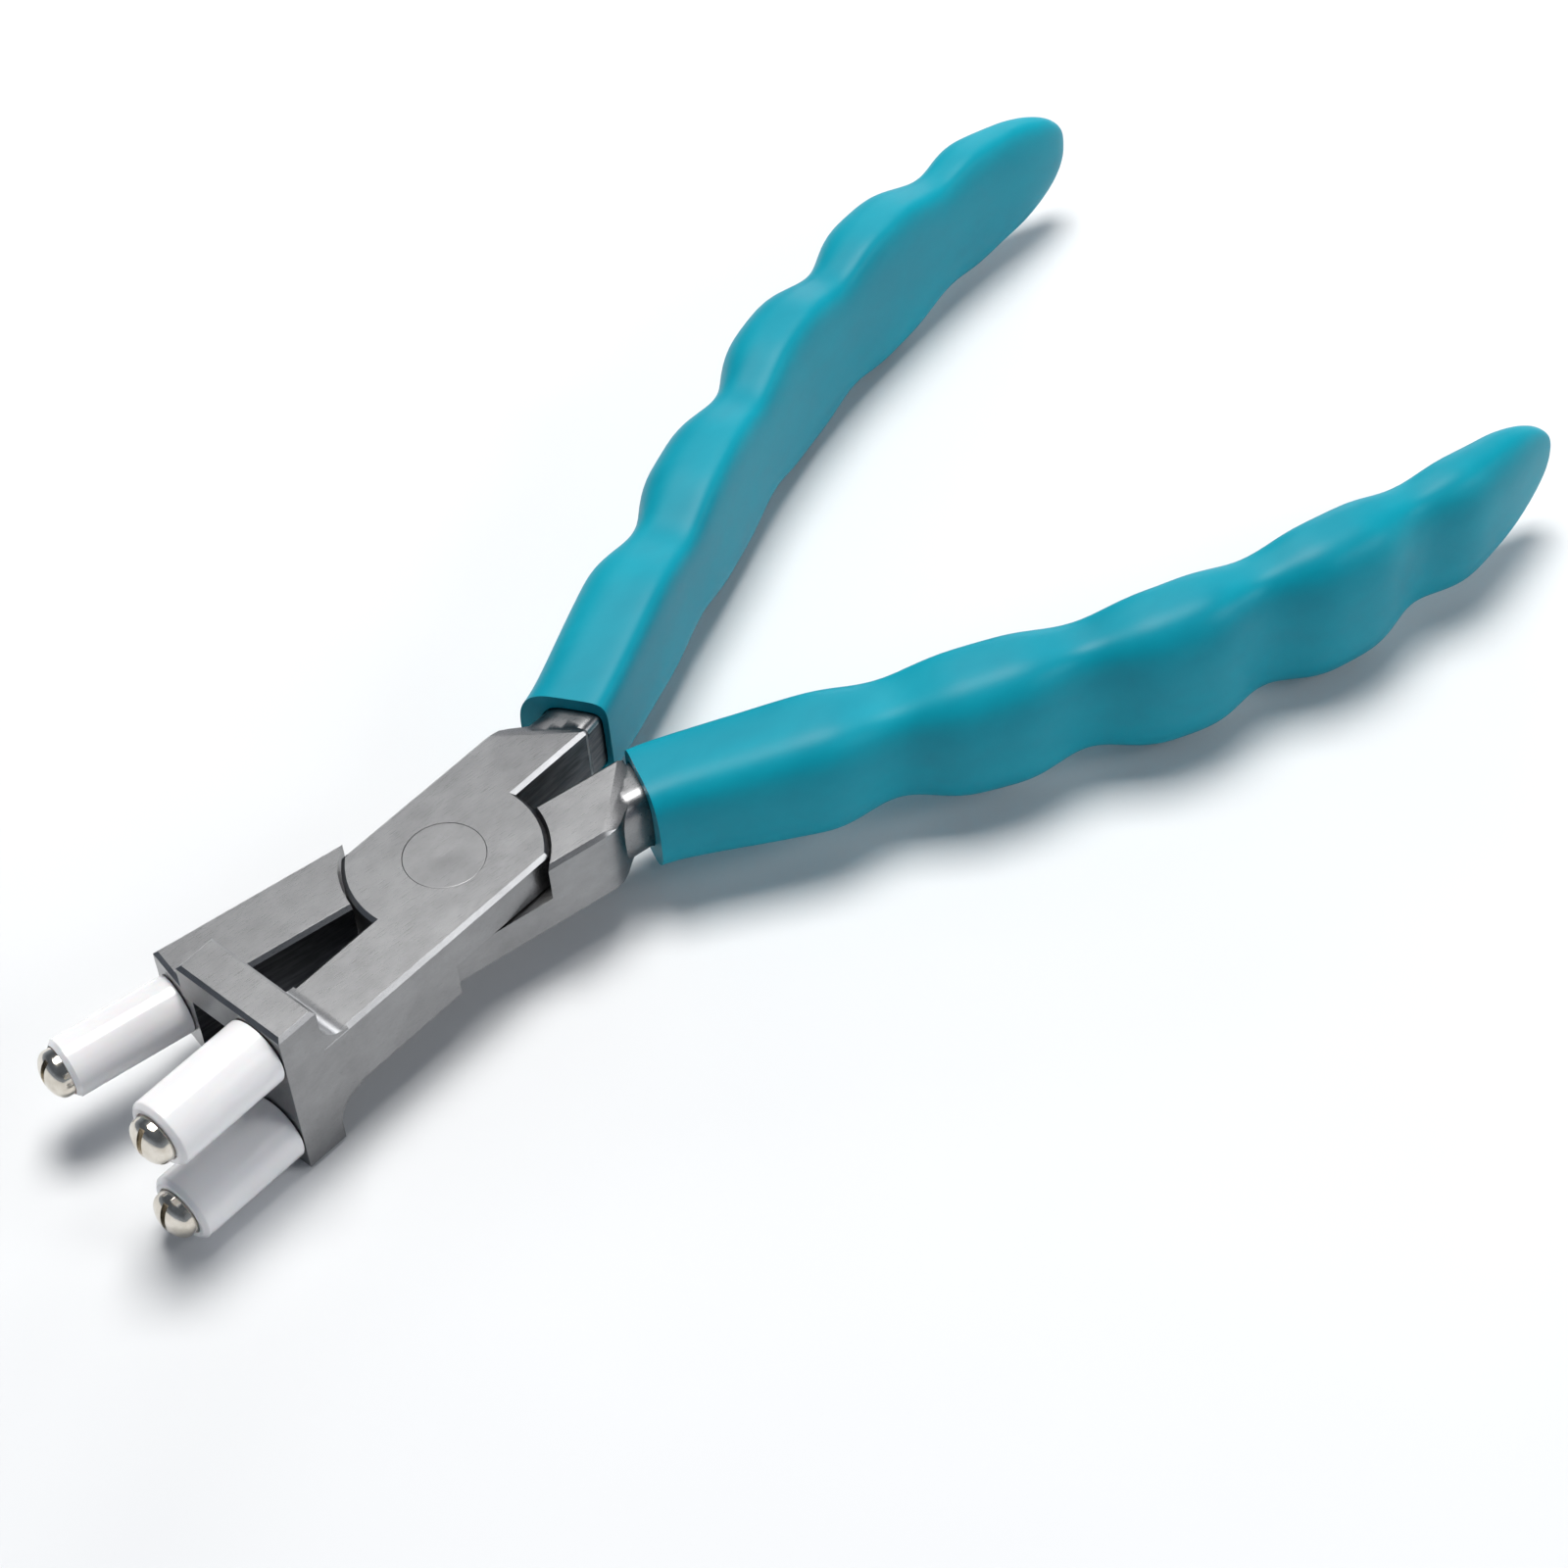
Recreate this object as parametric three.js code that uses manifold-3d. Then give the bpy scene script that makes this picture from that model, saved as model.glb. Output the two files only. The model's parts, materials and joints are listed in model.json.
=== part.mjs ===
// Three-post forming pliers: two forged halves in a lap joint, turning on one flush rivet. The left
// jaw carries one post and the right jaw a tall head with two posts, one above the other. Each post
// is a steel core under a nylon sleeve, held by a slotted screw. The handles wear moulded grips.
//
// Units are millimetres. +X runs from the pivot to the nose, +Y to the left of someone looking along
// +X from above, and +Z up, along the pivot. Each half is drawn with its inner faces on the line
// y = 0 (the closed position), and is then turned by half of the opening angle.

import * as THREE from 'three';
import { mergeVertices } from 'three/addons/utils/BufferGeometryUtils.js';
import Module from 'manifold-3d';

// ---------------------------------------------------------------- driving dimensions

const HALF_OPENING = THREE.MathUtils.degToRad(6);

const JOINT = {
  halfWidth: 7.5, // half the width of the lap, which is also the width of one jaw
  radius: 9.7, // round end of each lap
  halfThickness: 4.25,
  lapGap: 0.3, // height between the two laps
  shoulderGap: 0.35, // between a lap's round end and the shoulder it turns in
  faceInset: 0.25, // each jaw's and neck's inner face, back from the centre line
  edge: 0.35, // chamfer along the top and bottom edges
};

const RIVET = { headRadius: 4, headDepth: 1.2, shankRadius: 2.4, clearance: 0.12 };

const JAW_LENGTH = 27.2; // pivot to the front face of either jaw

const HEAD = {
  halfHeight: 9.6,
  depth: 4.5, // along the nose
  reach: 6.1, // how far its two arms pass the centre line, over and under the other jaw
  slotHalfHeight: 5.35,
  fillet: 3,
};

const SLEEVE_LENGTH = 12.3;
const POST_PAIR = { y: 4, z: 5.65, sleeveRadius: 3.5, coreRadius: 2 };
const POST_SINGLE = { y: 4.3, z: -0.3, sleeveRadius: 3, coreRadius: 1.6 };
const CORE = { sunk: 3.8, standsShort: 0.5, clearance: 0.12, threadRadius: 1.05, threadDepth: 6.5 };
const SCREW = {
  headRadius: 2.45,
  rimHeight: 0.6,
  headHeight: 2,
  shankRadius: 0.95,
  shankLength: 6,
  slotWidth: 0.6,
  slotDepth: 0.9,
};

const NECK = {
  cornerX: 12.8, // where the outer side leaves the straight
  // Distance behind the pivot and outside the centre line, from the inner face round to the outside.
  end: [[19.3, 0.3], [19.8, 0.6], [18.9, 4], [14.6, 7.1]],
  ridgeEndX: 19.3, // the flat top ends on a slanting ridge, from the corner to this point inside
  slope: THREE.MathUtils.degToRad(20), // fall of the surface past the ridge
};

// Handles: distance behind the pivot, and distance outside the centre line.
// Sections are half sizes at even steps along the line: [inner side, outer side, up and down].
const TANG = {
  line: [[12.5, 3.5], [19.3, 3.7], [23, 4.7], [32, 8.6], [44.5, 13.4], [71, 22.2], [93, 24.8]],
  sections: [[3.2, 3.3, 4.1], [3, 2.2, 3.5], [2.3, 1.4, 3], [2, 1.2, 2.6], [1.8, 1, 2.2]],
  clearance: 0.3,
};

const GRIP = {
  line: [[17, 4.3], [22, 5.4], [32.5, 9.3], [44.5, 13.8], [71, 22.6], [98, 25.3], [118, 22.7]],
  sections: [[4.9, 3.9, 5.1], [5, 4.5, 6.7], [5, 3.7, 7.9], [4.9, 3.5, 8.7], [4.4, 3.4, 8.4], [2.7, 1.2, 6]],
  // Each mouth is cut square in height, from its inner side to its outer side in plan.
  mouths: {
    twoPost: [[22.4, 0.5], [18.2, 8.8]],
    onePost: [[20.4, 0], [18.2, 8.8]],
  },
  grooves: 4,
  firstCrest: 33, // distance behind the pivot of the first crest between finger grooves
  pitch: 18.4,
  grooveDepth: 1.6,
  grooveDip: 0.5, // share of the depth by which a groove also lowers the top and raises the underside
  tipLength: 9,
};

// Squareness of a handle section: its flat inner side's corners, and its round outer side.
const CORNER_POWER = 7;
const ROUND_POWER = 2.8;

const ROUND = 48; // sides of the large round faces
const SMALL_ROUND = 28;

// ---------------------------------------------------------------- solids and meshes

const wasm = await Module();
wasm.setup();

function solidOf(geometry) {
  const bare = geometry.index ? geometry.toNonIndexed() : geometry.clone();
  bare.deleteAttribute('normal');
  bare.deleteAttribute('uv');
  const merged = mergeVertices(bare, 1e-4);
  const corners = merged.index.array;
  const kept = [];
  for (let i = 0; i < corners.length; i += 3) {
    const [a, b, c] = corners.slice(i, i + 3);
    if (a !== b && b !== c && c !== a) {
      kept.push(a, b, c);
    }
  }
  const mesh = new wasm.Mesh({
    numProp: 3,
    vertProperties: new Float32Array(merged.attributes.position.array),
    triVerts: new Uint32Array(kept),
  });
  return new wasm.Manifold(mesh);
}

function geometryOf(solid) {
  const mesh = solid.getMesh();
  const geometry = new THREE.BufferGeometry();
  geometry.setAttribute('position', new THREE.BufferAttribute(mesh.vertProperties, 3));
  geometry.setIndex(new THREE.BufferAttribute(mesh.triVerts, 1));
  geometry.computeVertexNormals();
  return geometry;
}

function prism(shape, low, high, edge = 0) {
  const geometry = new THREE.ExtrudeGeometry(shape, {
    depth: high - low - 2 * edge,
    steps: 1,
    curveSegments: ROUND / 4,
    bevelEnabled: edge > 0,
    bevelThickness: edge,
    bevelSize: edge,
    bevelOffset: -edge,
    bevelSegments: 1,
  });
  return solidOf(geometry.translate(0, 0, low + edge));
}

function block(low, high) {
  const size = new THREE.Vector3().subVectors(high, low);
  const centre = new THREE.Vector3().addVectors(low, high).multiplyScalar(0.5);
  const geometry = new THREE.BoxGeometry(size.x, size.y, size.z);
  return solidOf(geometry.translate(centre.x, centre.y, centre.z));
}

// A profile of [radius, height] turned about +Z.
function turned(profile, sides) {
  const points = profile.map(([radius, height]) => new THREE.Vector2(radius, height));
  return new THREE.LatheGeometry(points, sides);
}

// The same, lying along +X from the given point.
function turnedAlongX(profile, sides, x, y, z) {
  return solidOf(turned(profile, sides).rotateZ(-Math.PI / 2).translate(x, y, z));
}

// Rings with the same number of points, joined into one closed skin.
function loft(rings) {
  const sides = rings[0].length;
  const positions = rings.flat().flatMap((point) => point.toArray());
  const index = [];
  for (let ring = 0; ring + 1 < rings.length; ring += 1) {
    for (let side = 0; side < sides; side += 1) {
      const a = ring * sides + side;
      const b = ring * sides + ((side + 1) % sides);
      index.push(a, b, b + sides, a, b + sides, a + sides);
    }
  }
  const last = (rings.length - 1) * sides;
  for (let side = 1; side + 1 < sides; side += 1) {
    index.push(0, side + 1, side, last, last + side, last + side + 1);
  }
  const geometry = new THREE.BufferGeometry();
  geometry.setAttribute('position', new THREE.Float32BufferAttribute(positions, 3));
  geometry.setIndex(index);
  return solidOf(geometry);
}

// ---------------------------------------------------------------- forged halves

// Plan of one half: the round-ended lap, its jaw to the front and its neck to the back.
function halfPlan() {
  const { halfWidth, radius, faceInset } = JOINT;
  const corner = Math.asin(halfWidth / radius);
  const inner = Math.asin(faceInset / radius);
  const plan = new THREE.Shape();
  plan.moveTo(JAW_LENGTH, faceInset);
  plan.lineTo(JAW_LENGTH, halfWidth);
  plan.lineTo(-radius * Math.cos(corner), halfWidth);
  plan.absarc(0, 0, radius, Math.PI - corner, Math.PI + inner, false);
  for (const [behind, outside] of NECK.end) {
    plan.lineTo(-behind, -outside);
  }
  plan.lineTo(-NECK.cornerX, -halfWidth);
  plan.lineTo(radius * Math.cos(corner), -halfWidth);
  plan.absarc(0, 0, radius, -corner, inner, false);
  return plan;
}

// The space past the neck's slanting ridge, above the falling surface; side is +1 on top, -1 below.
function neckCut(side) {
  const size = 40;
  const corner = new THREE.Vector3(-NECK.cornerX, -JOINT.halfWidth, side * JOINT.halfThickness);
  const end = new THREE.Vector3(-NECK.ridgeEndX, -JOINT.faceInset, side * JOINT.halfThickness);
  const along = new THREE.Vector3().subVectors(end, corner).normalize();
  const away = new THREE.Vector3(-along.y, along.x, 0);
  if (away.x > 0) {
    away.negate();
  }
  const up = new THREE.Vector3(0, 0, side);
  const fall = away.clone().multiplyScalar(Math.cos(NECK.slope)).addScaledVector(up, -Math.sin(NECK.slope));
  const normal = away.clone().multiplyScalar(Math.sin(NECK.slope)).addScaledVector(up, Math.cos(NECK.slope));
  const centre = corner.clone().add(end).multiplyScalar(0.5);
  centre.addScaledVector(fall, size / 2).addScaledVector(normal, size / 2);
  const third = new THREE.Vector3().crossVectors(fall, normal);
  const basis = new THREE.Matrix4().makeBasis(fall, normal, third).setPosition(centre);
  return solidOf(new THREE.BoxGeometry(size, size, 2 * size).applyMatrix4(basis));
}

function planLine(points) {
  return new THREE.SplineCurve(points.map(([x, y]) => new THREE.Vector2(-x, -y)));
}

// A ring of points around a handle line, from its offsets across (outwards) and up.
function ringAt(line, u, offsets) {
  const centre = line.getPointAt(u);
  const tangent = line.getTangentAt(u);
  const outward = new THREE.Vector2(-tangent.y, tangent.x);
  return offsets.map(([across, up]) => {
    const point = centre.clone().addScaledVector(outward, across);
    return new THREE.Vector3(point.x, point.y, up);
  });
}

function roundedPower(value, exponent) {
  return Math.sign(value) * Math.abs(value) ** (2 / exponent);
}

// A handle section: a flat inner side with soft corners, and a full round outer side.
function sectionOffsets(inner, outer, halfHeight, sides) {
  const offsets = [];
  for (let side = 0; side < sides; side += 1) {
    const turn = (2 * Math.PI * side) / sides;
    const cos = Math.cos(turn);
    const power = cos > 0 ? ROUND_POWER : CORNER_POWER;
    const across = (cos > 0 ? outer : inner) * roundedPower(cos, power);
    offsets.push([across, halfHeight * roundedPower(Math.sin(turn), power)]);
  }
  return offsets;
}

function sizesAlong(sections) {
  return new THREE.CatmullRomCurve3(sections.map((half) => new THREE.Vector3(...half)));
}

function tangSolid(grow) {
  const line = planLine(TANG.line);
  const sizes = sizesAlong(TANG.sections);
  const steps = 16;
  const rings = [];
  for (let step = 0; step <= steps; step += 1) {
    const u = step / steps;
    const half = sizes.getPoint(u).addScalar(grow);
    rings.push(ringAt(line, u, sectionOffsets(half.x, half.y, half.z, 20)));
  }
  if (grow > 0) {
    const end = rings[steps];
    const tangent = line.getTangentAt(1);
    rings.push(end.map((p) => new THREE.Vector3(p.x + grow * tangent.x, p.y + grow * tangent.y, p.z)));
  }
  return loft(rings);
}

function rivetProfile(grow) {
  const { headRadius, headDepth, shankRadius } = RIVET;
  const top = JOINT.halfThickness + (grow > 0 ? 1 : 0);
  const step = JOINT.halfThickness - headDepth;
  return [
    [0, -top],
    [headRadius + grow, -top],
    [headRadius + grow, -step - 0.4 + grow],
    [shankRadius + grow, -step + grow],
    [shankRadius + grow, step - grow],
    [headRadius + grow, step + 0.4 - grow],
    [headRadius + grow, top],
    [0, top],
  ];
}

// One half with its own lap on top, without a head.
function plainHalf() {
  const { halfThickness, radius, shoulderGap, lapGap } = JOINT;
  const plan = prism(halfPlan(), -halfThickness, halfThickness, JOINT.edge);
  const recess = turned(
    [
      [0, -halfThickness - 1],
      [radius + shoulderGap, -halfThickness - 1],
      [radius + shoulderGap, lapGap / 2],
      [0, lapGap / 2],
    ],
    ROUND,
  ).rotateX(Math.PI / 2);
  const rivetHole = turned(rivetProfile(RIVET.clearance), ROUND).rotateX(Math.PI / 2);
  return plan
    .subtract(solidOf(recess))
    .subtract(neckCut(1))
    .subtract(neckCut(-1))
    .add(tangSolid(0))
    .subtract(solidOf(rivetHole));
}

// The tall head across the right jaw, with its slot for the other jaw and a fillet above and below.
function headSolid() {
  const back = JAW_LENGTH - HEAD.depth;
  const { halfWidth, halfThickness, faceInset } = JOINT;
  const plan = new THREE.Shape();
  plan.moveTo(back, -HEAD.reach);
  plan.lineTo(JAW_LENGTH, -HEAD.reach);
  plan.lineTo(JAW_LENGTH, halfWidth);
  plan.lineTo(back, halfWidth);
  let head = prism(plan, -HEAD.halfHeight, HEAD.halfHeight, JOINT.edge);
  const slot = block(
    new THREE.Vector3(back - 1, -HEAD.reach - 1, -HEAD.slotHalfHeight),
    new THREE.Vector3(JAW_LENGTH + 1, faceInset, HEAD.slotHalfHeight),
  );
  head = head.subtract(slot);
  for (const side of [1, -1]) {
    const web = new THREE.Shape();
    web.moveTo(back + 1, 0);
    web.lineTo(back + 1, HEAD.fillet);
    web.lineTo(back, HEAD.fillet);
    web.absarc(back - HEAD.fillet, HEAD.fillet, HEAD.fillet, 0, -Math.PI / 2, true);
    web.lineTo(back - HEAD.fillet, -1);
    web.lineTo(back + 1, -1);
    const depth = halfWidth - faceInset - 0.1;
    const geometry = new THREE.ExtrudeGeometry(web, { depth, bevelEnabled: false, curveSegments: 8 });
    geometry.rotateX(Math.PI / 2).translate(0, halfWidth - 0.05, halfThickness);
    const solid = solidOf(geometry);
    head = head.add(side > 0 ? solid : solid.mirror([0, 0, 1]));
  }
  return head;
}

function coreHole(post, y, z) {
  const radius = post.coreRadius + CORE.clearance;
  const profile = [[0, 0], [radius, 0], [radius, CORE.sunk + 2], [0, CORE.sunk + 2]];
  return turnedAlongX(profile, SMALL_ROUND, JAW_LENGTH - CORE.sunk - CORE.clearance, y, z);
}

function upperHalf() {
  let half = plainHalf().add(headSolid());
  for (const z of [POST_PAIR.z, -POST_PAIR.z]) {
    half = half.subtract(coreHole(POST_PAIR, POST_PAIR.y, z));
  }
  return half;
}

// The same half turned over, so that its lap lies below; its jaw is then on the left.
function lowerHalf() {
  const flipped = plainHalf().rotate([180, 0, 0]);
  return flipped.subtract(coreHole(POST_SINGLE, -POST_SINGLE.y, POST_SINGLE.z));
}

// ---------------------------------------------------------------- posts

function corePin(post, y, z) {
  const { sunk, standsShort, threadRadius, threadDepth } = CORE;
  const length = sunk + SLEEVE_LENGTH - standsShort;
  const profile = [
    [0, 0],
    [post.coreRadius, 0],
    [post.coreRadius, length],
    [threadRadius, length],
    [threadRadius, length - threadDepth],
    [0, length - threadDepth],
  ];
  return turnedAlongX(profile, SMALL_ROUND, JAW_LENGTH - sunk, y, z);
}

function sleeve(post, y, z) {
  const bore = post.coreRadius + CORE.clearance;
  const outer = post.sleeveRadius;
  const chamfer = 0.45;
  const profile = [
    [bore, 0.1],
    [outer, 0.1],
    [outer, SLEEVE_LENGTH - chamfer],
    [outer - chamfer, SLEEVE_LENGTH],
    [bore, SLEEVE_LENGTH],
    [bore, 0.1],
  ];
  return turnedAlongX(profile, SMALL_ROUND, JAW_LENGTH, y, z);
}

function screw(y, z) {
  const { headRadius, rimHeight, headHeight, shankRadius, shankLength, slotWidth, slotDepth } = SCREW;
  const seat = SLEEVE_LENGTH + 0.12;
  const profile = [[0, -shankLength], [shankRadius, -shankLength], [shankRadius, 0], [headRadius, 0]];
  const domeSteps = 5;
  for (let step = 0; step <= domeSteps; step += 1) {
    const turn = (Math.PI / 2) * (step / domeSteps);
    profile.push([headRadius * Math.cos(turn), rimHeight + (headHeight - rimHeight) * Math.sin(turn)]);
  }
  profile[profile.length - 1][0] = 0;
  const x = JAW_LENGTH + seat;
  const slot = block(
    new THREE.Vector3(x + headHeight - slotDepth, y - slotWidth / 2, z - headRadius - 1),
    new THREE.Vector3(x + headHeight + 1, y + slotWidth / 2, z + headRadius + 1),
  );
  return turnedAlongX(profile, SMALL_ROUND, x, y, z).subtract(slot);
}

// ---------------------------------------------------------------- grips

// How far the finger grooves cut in at a distance behind the pivot: 0 on a crest, 1 in a groove.
function grooveShare(distance) {
  const turns = (distance - GRIP.firstCrest) / GRIP.pitch;
  if (turns < 0 || turns > GRIP.grooves) {
    return 0;
  }
  return (0.5 - 0.5 * Math.cos(2 * Math.PI * turns)) ** 1.3;
}

// Distances along the grip with how much the section shrinks there, to round the tip.
function gripStations(length) {
  const bodySteps = 30;
  const tipSteps = 6;
  const stations = [];
  for (let step = 0; step <= bodySteps; step += 1) {
    stations.push([((length - GRIP.tipLength) * step) / bodySteps, 1]);
  }
  for (let step = 1; step <= tipSteps; step += 1) {
    const turn = (Math.PI / 2) * (step / (tipSteps + 0.3));
    stations.push([length - GRIP.tipLength * (1 - Math.sin(turn)), Math.cos(turn) ** 0.9]);
  }
  return stations;
}

// The space in front of a grip's mouth.
function mouthCut([[innerBehind, innerOutside], [outerBehind, outerOutside]]) {
  const size = 40;
  const inner = new THREE.Vector3(-innerBehind, -innerOutside, 0);
  const outer = new THREE.Vector3(-outerBehind, -outerOutside, 0);
  const along = new THREE.Vector3().subVectors(outer, inner).normalize();
  const forward = new THREE.Vector3(-along.y, along.x, 0);
  const centre = inner.clone().add(outer).multiplyScalar(0.5).addScaledVector(forward, size / 2);
  const basis = new THREE.Matrix4().makeBasis(forward, along.negate(), new THREE.Vector3(0, 0, 1));
  return solidOf(new THREE.BoxGeometry(size, size, size).applyMatrix4(basis.setPosition(centre)));
}

function gripSolid(mouth) {
  const line = planLine(GRIP.line);
  const length = line.getLength();
  const sizes = sizesAlong(GRIP.sections);
  const rings = gripStations(length).map(([along, shrink]) => {
    const u = along / length;
    const groove = GRIP.grooveDepth * grooveShare(-line.getPointAt(u).x);
    const half = sizes.getPoint(u);
    const outer = (half.y - groove) * shrink;
    const height = (half.z - GRIP.grooveDip * groove) * shrink;
    return ringAt(line, u, sectionOffsets(half.x * shrink, outer, height, 24));
  });
  return loft(rings).subtract(mouthCut(mouth)).subtract(tangSolid(TANG.clearance));
}

// ---------------------------------------------------------------- assembly

const STEEL = { color: 0x9a9d9f, roughness: 0.42, metalness: 0.9 };
const RIVET_STEEL = { color: 0x94979a, roughness: 0.45, metalness: 0.9 };
const CORE_STEEL = { color: 0xb4b6b8, roughness: 0.35, metalness: 0.95 };
const NICKEL = { color: 0xc2bdb2, roughness: 0.2, metalness: 1 };
const NYLON = { color: 0xf1eff4, roughness: 0.35, metalness: 0 };
const VINYL = { color: 0x2aa6bb, roughness: 0.5, metalness: 0 };

const upper = new THREE.Group();
upper.rotation.z = HALF_OPENING;
const lower = new THREE.Group();
lower.rotation.z = -HALF_OPENING;

function place(parent, name, solid, finish) {
  const mesh = new THREE.Mesh(geometryOf(solid), new THREE.MeshStandardMaterial(finish));
  mesh.name = name;
  parent.add(mesh);
}

function placePost(parent, name, post, y, z) {
  place(parent, `${name}_core_pin`, corePin(post, y, z), CORE_STEEL);
  place(parent, `${name}_nylon_sleeve`, sleeve(post, y, z), NYLON);
  place(parent, `${name}_retaining_screw`, screw(y, z), NICKEL);
}

const rivet = solidOf(turned(rivetProfile(0), ROUND).rotateX(Math.PI / 2));

place(upper, 'two_post_half_forging', upperHalf(), STEEL);
place(upper, 'pivot_rivet', rivet, RIVET_STEEL);
place(upper, 'two_post_half_grip', gripSolid(GRIP.mouths.twoPost), VINYL);
placePost(upper, 'upper_post', POST_PAIR, POST_PAIR.y, POST_PAIR.z);
placePost(upper, 'lower_post', POST_PAIR, POST_PAIR.y, -POST_PAIR.z);

place(lower, 'one_post_half_forging', lowerHalf(), STEEL);
place(lower, 'one_post_half_grip', gripSolid(GRIP.mouths.onePost).mirror([0, 1, 0]), VINYL);
placePost(lower, 'single_post', POST_SINGLE, -POST_SINGLE.y, POST_SINGLE.z);

// The origin is the middle of the underside of the whole tool's box.
const group = new THREE.Group();
group.add(upper, lower);
group.updateMatrixWorld(true);
const bounds = new THREE.Box3().setFromObject(group, true);
const centre = bounds.getCenter(new THREE.Vector3());
group.position.set(-centre.x, -centre.y, -bounds.min.z);
group.updateMatrixWorld(true);

export default group;
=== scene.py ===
"""Three-post forming pliers: two forged steel halves in a lap joint, three nylon-sleeved posts with
slotted screws, and moulded vinyl grips. Each half is modelled in its own millimetres, with its inner
faces on y = 0, the pivot at the origin and the nose along +x, and is then set at its opening angle.
"""
import json
import math

import bmesh
import bpy
from mathutils import Matrix, Vector


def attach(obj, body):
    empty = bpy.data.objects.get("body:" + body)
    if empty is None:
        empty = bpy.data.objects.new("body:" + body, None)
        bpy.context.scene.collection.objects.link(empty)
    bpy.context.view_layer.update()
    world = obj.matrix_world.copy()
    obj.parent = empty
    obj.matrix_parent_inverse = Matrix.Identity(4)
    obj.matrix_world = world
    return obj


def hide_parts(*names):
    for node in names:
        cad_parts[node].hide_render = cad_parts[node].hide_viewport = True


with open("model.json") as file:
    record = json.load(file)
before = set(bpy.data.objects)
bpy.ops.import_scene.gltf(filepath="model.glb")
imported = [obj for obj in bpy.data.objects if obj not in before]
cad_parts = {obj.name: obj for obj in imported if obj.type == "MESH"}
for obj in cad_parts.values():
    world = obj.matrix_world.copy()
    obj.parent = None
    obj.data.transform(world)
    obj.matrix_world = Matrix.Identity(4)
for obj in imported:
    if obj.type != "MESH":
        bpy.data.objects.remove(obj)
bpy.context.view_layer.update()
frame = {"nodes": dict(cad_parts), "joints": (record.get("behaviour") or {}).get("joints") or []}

MM = 0.001
NEAR_AXIS = 0.02  # radius at which a turned profile closes on its axis, millimetres
PIVOT = Vector(frame["joints"][0]["pos_m"])
TWO_POST = "two_post_half"
ONE_POST = "one_post_half"
HALF_OPENING = {TWO_POST: math.radians(6), ONE_POST: math.radians(-6)}

# ---------------------------------------------------------------- driving dimensions, millimetres

HALF_THICKNESS = 4.25
JOINT_HALF_WIDTH = 7.5
JOINT_RADIUS = 9.7
SHOULDER_RADIUS = 10.0
LAP_FACE = 0.12  # height of each lap's hidden face above or below the middle
FACE_INSET = 0.25
INNER_FACE_REACH = 2.2  # how far from the centre line the inner faces painted dark as shade lie
INNER_FACE_SQUARE = 0.93  # how nearly they face straight across
EDGE = 0.4  # ground chamfer along the top and bottom edges
FORGED_EDGE = 0.06  # slight rounding of every other steel edge
JAW_LENGTH = 27.2

RIVET_RADIUS = 3.98
RIVET_GAP = 0.025
RIVET_BELOW_FACE = 0.01
RIVET_DISH = 0.05
RIVET_FLAT_RIM = 0.5

HEAD_HALF_HEIGHT = 9.6
HEAD_DEPTH = 4.5
HEAD_REACH = 6.1
HEAD_SLOT = 5.35
HEAD_FILLET = 3.0

CORE_SUNK = 3.92  # depth of the blind hole for a post's core
CORE_GAP = 0.1
SLEEVE_LENGTH = 12.3
# Half, distance from the centre line, height of the axis, sleeve radius, core radius.
POSTS = {
    "upper_post": (TWO_POST, 4.0, 5.65, 3.5, 2.0),
    "lower_post": (TWO_POST, 4.0, -5.65, 3.5, 2.0),
    "single_post": (ONE_POST, -4.3, -0.3, 3.0, 1.6),
}
SLEEVE_CHAMFER = 0.45
SLEEVE_STEP = 0.35  # how far the ledge under the screw head lies below the sleeve's end
SLEEVE_STANDOFF = 0.1
SCREW_RADIUS = 2.42
SCREW_RIM = 0.6
SCREW_HEIGHT = 1.98
SCREW_SLOT_WIDTH = 0.62
SCREW_SLOT_DEPTH = 0.9
SCREW_POLE = 0.03

NECK_CORNER = 12.8
NECK_RIDGE_END = 19.3
NECK_SLOPE = math.radians(20)
NECK_END = [(19.3, 0.3), (19.8, 0.6), (18.9, 4.0), (16.2, 6.0), (15.4, 6.7), (14.5, 7.25), (13.6, 7.46)]

# Handle lines: distance behind the pivot and outside the centre line. Sections are half sizes at
# even steps along the line: inner side, outer side, up and down. A grip's sections end with the
# squareness of their inner corners and with the place of the crown where their outer side begins.
TANG_LINE = [(12.5, 3.5), (19.3, 3.7), (23, 4.7), (32, 8.6), (44.5, 13.4), (71, 22.2), (93, 24.8)]
TANG_SECTIONS = [(3.2, 3.1, 4.1), (3, 2.1, 3.2), (2.3, 1.3, 3), (2, 1.1, 2.6), (1.8, 1, 2.2)]
TANG_GAP = 0.12
GRIP_LINE = [(17, 4.3), (22, 5.4), (32.5, 9.3), (44.5, 13.8), (71, 22.6), (98, 25.3), (117.97, 22.7)]
GRIP_SECTIONS = [
    (4.9, 3.9, 5.1, 7, 0), (5, 4.6, 6.7, 6.5, -0.4), (5, 3.85, 7.9, 5.5, -1.2),
    (4.9, 3.56, 8.7, 4.8, -1.5), (4.4, 3.35, 8.4, 4, -1.5), (2.7, 1.2, 6, 2.6, -0.5),
]
# Each mouth is cut square in height, between an inner and an outer point in plan.
MOUTHS = {TWO_POST: [(22.4, 0.5), (18.2, 8.8)], ONE_POST: [(20.4, 0), (18.2, 8.8)]}
TANG_SQUARENESS = 7.0
OUTER_ROUNDNESS = 2.9
GROOVES = 4
FIRST_CREST = 33.0
GROOVE_PITCH = 18.4
GROOVE_DEPTH = 1.85
GROOVE_DIP = 0.65
GROOVE_NARROWNESS = 1.8
TIP_LENGTH = 9.0

# ---------------------------------------------------------------- mesh tools


def new_object(name, mesh):
    obj = bpy.data.objects.new(name, mesh)
    bpy.context.scene.collection.objects.link(obj)
    return obj


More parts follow.
